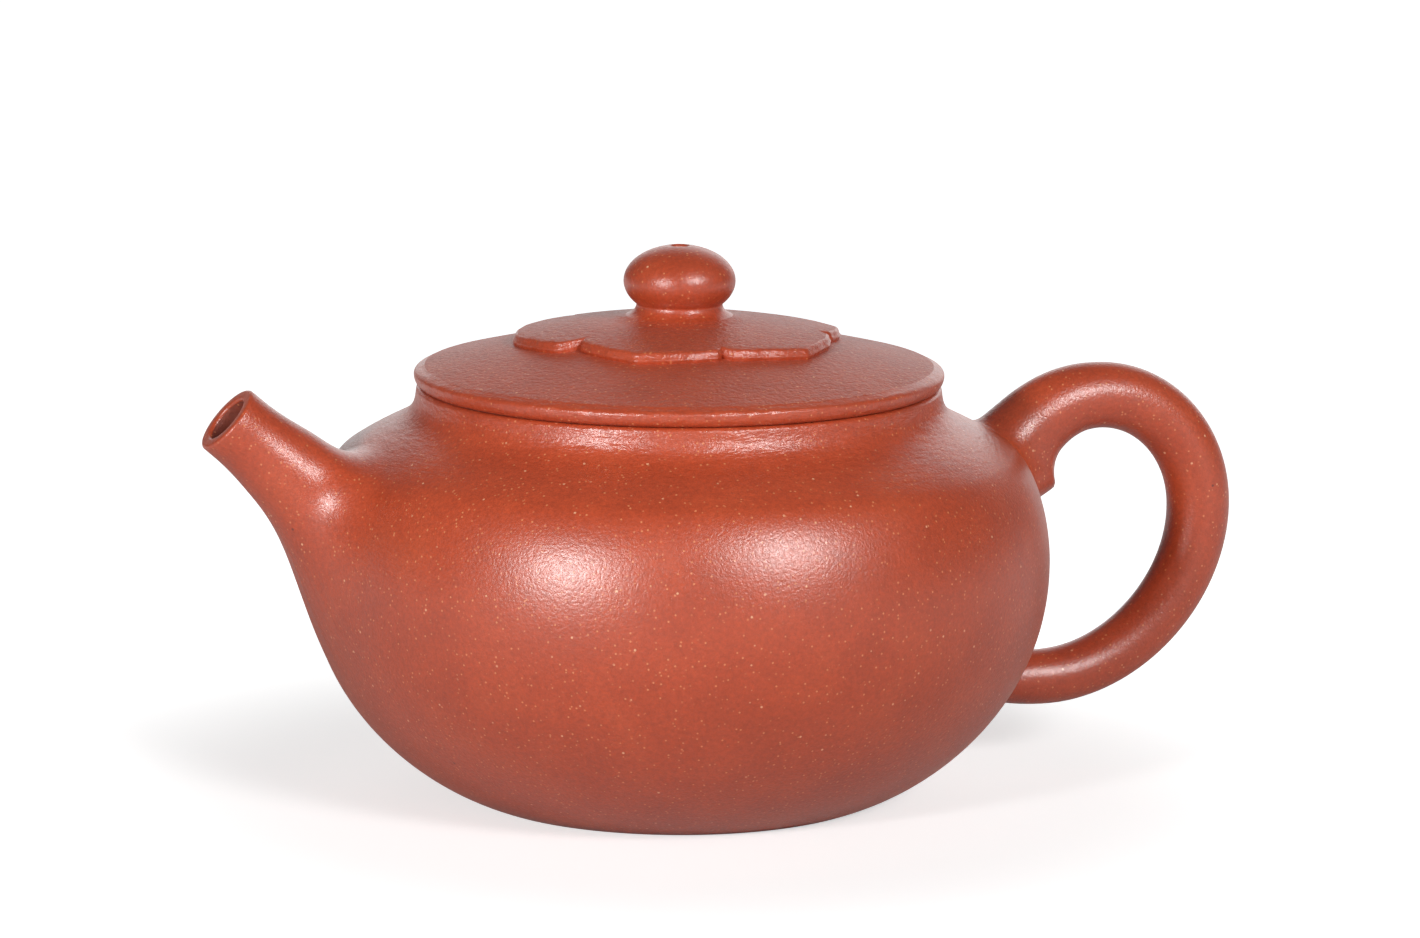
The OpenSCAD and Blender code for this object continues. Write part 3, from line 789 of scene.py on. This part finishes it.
class TEAPOT_OT_leaf(bpy.types.Operator):
    """Carve the five-lobed leaf under the knob, with a cut edge and narrow notches"""

    bl_idname = "teapot.leaf"
    bl_label = "Leaf"

    def execute(self, context):
        s = in_mm(context.scene.teapot_shape)
        lid, r, vent_r, thick = Lid(s), s.leaf_d / 2, s.vent_d / 2, s.leaf_t
        first, edge = LEAF_EDGE[0][0], []
        for degree in range(360):
            a = math.radians(degree)
            carved = sum(depth * math.sin(count * a + start) for depth, count, start in KNIFE_WAVES)
            lobed = between(LEAF_EDGE, (degree - first) % 360 + first) * r / LEAF_EDGE_R
            edge.append(lobed + carved)

        def ring(share, lift, inset=0.0):
            """Ring that share of the way from the air hole to the edge, lifted off the dome."""
            loop = []
            for degree, edge_r in enumerate(edge):
                a = math.radians(degree)
                reach = (edge_r - inset) * share + (1 - share) * vent_r
                loop.append(point(reach * math.cos(a), reach * math.sin(a),
                                  lid.height(reach) + lift))
            return loop

        # The cut face, as (height, inset), has a ridge along its middle, which catches the light,
        # and a chamfer above it. The leaf's top rises by the crown from there to the air hole.
        sunk, under_rings, top_rings, top_inset, crown = 0.02, 14, 24, 0.95, 0.15
        cut = ((-0.02, 0.14), (0.28, 0.02), (0.52, -0.07), (0.66, -0.02), (0.8, 0.15), (1.1, 0.2),
               (thick - 0.14, 0.36), (thick - 0.03, 0.62))
        rings = [ring(0, 0)] + [ring(i / under_rings, -sunk) for i in range(1, under_rings)]
        rings += [ring(1, lift, inset) for lift, inset in cut]
        rings += [ring(i / top_rings, thick + crown * (1 - i / top_rings), top_inset)
                  for i in range(top_rings, -1, -1)]
        rings += [ring(0, 0)]
        piece = drawn_out("leaf_five_lobes", rings, angle=40)
        clay = context.scene.teapot_clay
        coat(piece, burnished(clay), ribbed(clay))
        for face in piece.data.polygons:
            face.material_index = int(face.normal.z > 0.93)
        to_body(piece, "lid", "lid_clay", "calyx")
        return {"FINISHED"}


class TEAPOT_OT_knob(bpy.types.Operator):
    """Turn the flattened knob on its waisted neck, with the air hole down its middle"""

    bl_idname = "teapot.knob"
    bl_label = "Knob"

    def execute(self, context):
        s = in_mm(context.scene.teapot_shape)
        lid, ball_r, vent_r = Lid(s), s.knob_d / 2, s.vent_d / 2
        # The neck is waisted, and spreads at its foot over the leaf
        neck_r, neck_up, neck_h, ball_h, spread = 6.0, 1.15, 2.3, 8.2, 5.2
        hole_edge, sunk_z = 0.35, lid.low_z + 6
        neck_z = lid.height(neck_r) + neck_up + neck_h
        cut = math.degrees(math.acos(neck_r / ball_r))
        half_h = ball_h / (1 + math.sin(math.radians(cut)))
        centre = point(0, neck_z + ball_h - half_h)
        rim = math.degrees(math.acos((vent_r + hole_edge) / ball_r))
        ball = profile_arc(centre, ball_r, half_h, -cut, rim, 44)
        foot = point(neck_r + spread, lid.height(neck_r + spread) + s.leaf_t - 0.02)
        waist = point(neck_r, neck_z)
        neck = curve(foot, foot + point(-0.75 * spread, 0.55), waist - point(0, 0.5 * neck_h),
                     waist, 16)
        # The air hole's mouth is softened, and the underside is sunk in the lid
        vent = [ball[-1] + point(-0.25, -0.1), ball[-1] + point(-hole_edge, -0.4),
                point(vent_r, sunk_z)]
        under = [point(neck_r + 1, sunk_z), foot - point(0.8, 0.7)]
        piece = turned("knob", neck[:-1] + ball + vent + under, angle=60)
        clay = context.scene.teapot_clay
        coat(piece, burnished(clay), ribbed(clay))
        for face in piece.data.polygons:
            r = math.hypot(face.center.x, face.center.y) / MM
            face.material_index = int(face.normal.z > 0.93 and r > neck_r)
        to_body(piece, "lid", "lid_clay", "knob")
        return {"FINISHED"}


class TEAPOT_OT_inner_clay(bpy.types.Operator):
    """Give the strainer and the lid's flange their scraped clay, which is darker as painted shade"""

    bl_idname = "teapot.inner_clay"
    bl_label = "Inner clay"

    def execute(self, context):
        for node in ("strainer", "lid_flange"):
            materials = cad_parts[node].data.materials
            materials.clear()
            materials.append(scraped_and_shaded(context.scene.teapot_clay))
        return {"FINISHED"}


# ---------------------------------------------------------------- stage

WHITE = (1, 1, 1, 1)
# Degrees round from +X to the camera, and the middle of the pot, which the lamps face
CAMERA_SIDE = -108
POT_MIDDLE = point(0, 0, 0.035)
LAMP_AWAY = 0.75


def white_paper(studio):
    """Matt paper that the camera sees as white, but for the pot's soft shadow, which fades out
    round it, and for a painted shade where its white glow is dimmed near the pot."""
    # In metres from the pot's middle: where the shadow and the painted shade fade out, and where the
    # painted gleam fades in
    shade_from, shade_to, gleam_from, gleam_to = 0.055, 0.12, 0.08, 0.3
    made = bpy.data.materials.new("matt_white_paper")
    tree = empty_tree(made)
    light = add_node(tree, "LightPath")
    place = add_node(tree, "TexCoord")
    away = add_node(tree, "VectorMath", {0: place.outputs["Object"]}, operation="LENGTH")
    # Near the pot the paper's white glow is dimmed: painted shade that deepens the pot's real shadow
    # there
    white = add_node(tree, "MapRange", {"Value": away.outputs["Value"], "From Min": shade_from,
                                        "From Max": shade_to, "To Min": studio.paper,
                                        "To Max": 1.0}, interpolation_type="SMOOTHSTEP")
    # The paper further off glows with painted light, which the pot's skin mirrors and which lights
    # the pot from below
    sheet = add_node(tree, "BsdfDiffuse", {"Color": rgba((0.72,) * 3)})
    bright = add_node(tree, "MapRange", {"Value": away.outputs["Value"], "From Min": gleam_from,
                                         "From Max": gleam_to, "To Min": 0.0, "To Max": 0.6})
    gleam = add_node(tree, "Emission", {"Color": WHITE, "Strength": bright.outputs[0]})
    mirrored = add_node(tree, "AddShader", {0: sheet.outputs[0], 1: gleam.outputs[0]})
    shadow = add_node(tree, "BsdfDiffuse", {"Color": rgba((0.6,) * 3)})
    glow = add_node(tree, "Emission", {"Color": WHITE, "Strength": white.outputs[0]})
    seen = add_node(tree, "AddShader", {0: shadow.outputs[0], 1: glow.outputs[0]})
    shown = add_node(tree, "MixShader", {0: light.outputs["Is Camera Ray"],
                                         1: mirrored.outputs[0], 2: seen.outputs[0]})
    add_node(tree, "OutputMaterial", {"Surface": shown.outputs[0]})
    return made


def dim_room(studio):
    """Dim room with a broad white sheet behind the pot. The camera sees plain white."""
    made = bpy.data.worlds.new("studio_room")
    tree = empty_tree(made)
    light = add_node(tree, "LightPath")
    place = add_node(tree, "TexCoord")
    # The sheet's middle lies low behind the pot, to its right
    behind = math.radians(64)
    to_sheet = (0.99 * math.cos(behind), 0.99 * math.sin(behind), 0.1)
    facing = add_node(tree, "VectorMath", {0: place.outputs["Generated"], 1: to_sheet},
                      operation="DOT_PRODUCT")
    sheet = add_node(tree, "MapRange", {"Value": facing.outputs["Value"], "From Min": 0.78,
                                        "From Max": 0.98, "To Min": studio.room,
                                        "To Max": studio.backdrop},
                     interpolation_type="SMOOTHSTEP")
    level = add_node(tree, "Mix", {"Factor": light.outputs["Is Camera Ray"],
                                   NUMBER_A: sheet.outputs[0], NUMBER_B: 1.0}, data_type="FLOAT")
    back = add_node(tree, "Background", {"Color": WHITE, "Strength": level.outputs[0]})
    add_node(tree, "OutputWorld", {"Surface": back.outputs[0]})
    return made


def softbox(name, off, high, wide, tall, spread, power):
    """Lamp off to one side of the camera and high above the table, both in degrees."""
    a, up = math.radians(off + CAMERA_SIDE), math.radians(high)
    way = point(math.cos(up) * math.cos(a), math.cos(up) * math.sin(a), math.sin(up))
    bpy.ops.object.light_add(type="AREA", location=LAMP_AWAY * way + POT_MIDDLE,
                             rotation=way.to_track_quat("Z", "Y").to_euler())
    box = bpy.context.object
    box.name = name
    box.data.shape, box.data.size, box.data.size_y = "RECTANGLE", wide, tall
    box.data.energy, box.data.spread = power, math.radians(spread)


class TEAPOT_OT_stage(bpy.types.Operator):
    """Lay the pale floor and set the lamps, the room light and the camera"""

    bl_idname = "teapot.stage"
    bl_label = "Stage"

    def execute(self, context):
        studio = context.scene.teapot_studio
        clear_selection()
        bpy.ops.mesh.primitive_plane_add(size=6)
        floor = context.object
        floor.name = "floor"
        coat(floor, white_paper(studio))
        context.scene.world = dim_room(studio)

        # A small softbox stands to the camera's left, and a broad one, higher, to its right.
        # Honeycomb grids keep their light to the belly, so the spout, handle and lid are darker.
        softbox("softbox_left", off=-33, high=16, wide=0.10, tall=0.10, spread=28,
                power=studio.left)
        softbox("softbox_right", off=36, high=28, wide=0.40, tall=0.20, spread=24,
                power=studio.right)

        # The camera stands 0.87 m off and looks 10 degrees down, with a long lens
        turn, tilt, roll = math.radians(-18), math.radians(90 - 10.206), math.radians(0.324)
        aim = (Matrix.Rotation(turn, 4, "Z") @ Matrix.Rotation(tilt, 4, "X")
               @ Matrix.Rotation(roll, 4, "Z"))
        bpy.ops.object.camera_add(location=(-0.25850, -0.80975, 0.19866), rotation=aim.to_euler())
        camera = context.object
        camera.data.lens, camera.data.sensor_width = 156.7, 36
        camera.data.clip_start, camera.data.clip_end = 0.05, 20
        context.scene.camera = camera
        context.scene.view_settings.view_transform = "Standard"
        return {"FINISHED"}


PIECES = (TEAPOT_OT_body, TEAPOT_OT_spout, TEAPOT_OT_handle, TEAPOT_OT_lid, TEAPOT_OT_leaf,
          TEAPOT_OT_knob, TEAPOT_OT_inner_clay, TEAPOT_OT_stage)


class TEAPOT_PT_sidebar(bpy.types.Panel):
    """Sizes, colours and pieces of the teapot"""

    bl_idname = "TEAPOT_PT_sidebar"
    bl_label = "Clay teapot"
    bl_space_type = "VIEW_3D"
    bl_region_type = "UI"
    bl_category = "Teapot"

    def draw(self, context):
        for name in GROUPS:
            group = getattr(context.scene, name)
            box = self.layout.box()
            for key in group.__annotations__:
                box.prop(group, key)
        for piece in PIECES:
            self.layout.operator(piece.bl_idname)


def register():
    for cls in (*GROUPS.values(), *PIECES, TEAPOT_PT_sidebar):
        bpy.utils.register_class(cls)
    for name, group in GROUPS.items():
        setattr(bpy.types.Scene, name, PointerProperty(type=group))


def unregister():
    for name in GROUPS:
        delattr(bpy.types.Scene, name)
    for cls in (TEAPOT_PT_sidebar, *reversed(PIECES), *reversed(GROUPS.values())):
        bpy.utils.unregister_class(cls)


def main():
    register()
    for piece in PIECES:
        name = piece.bl_idname.split(".")[1]
        if getattr(bpy.ops.teapot, name)() != {"FINISHED"}:
            raise RuntimeError(f"{piece.bl_label} was not finished")


if __name__ == "__main__":
    main()
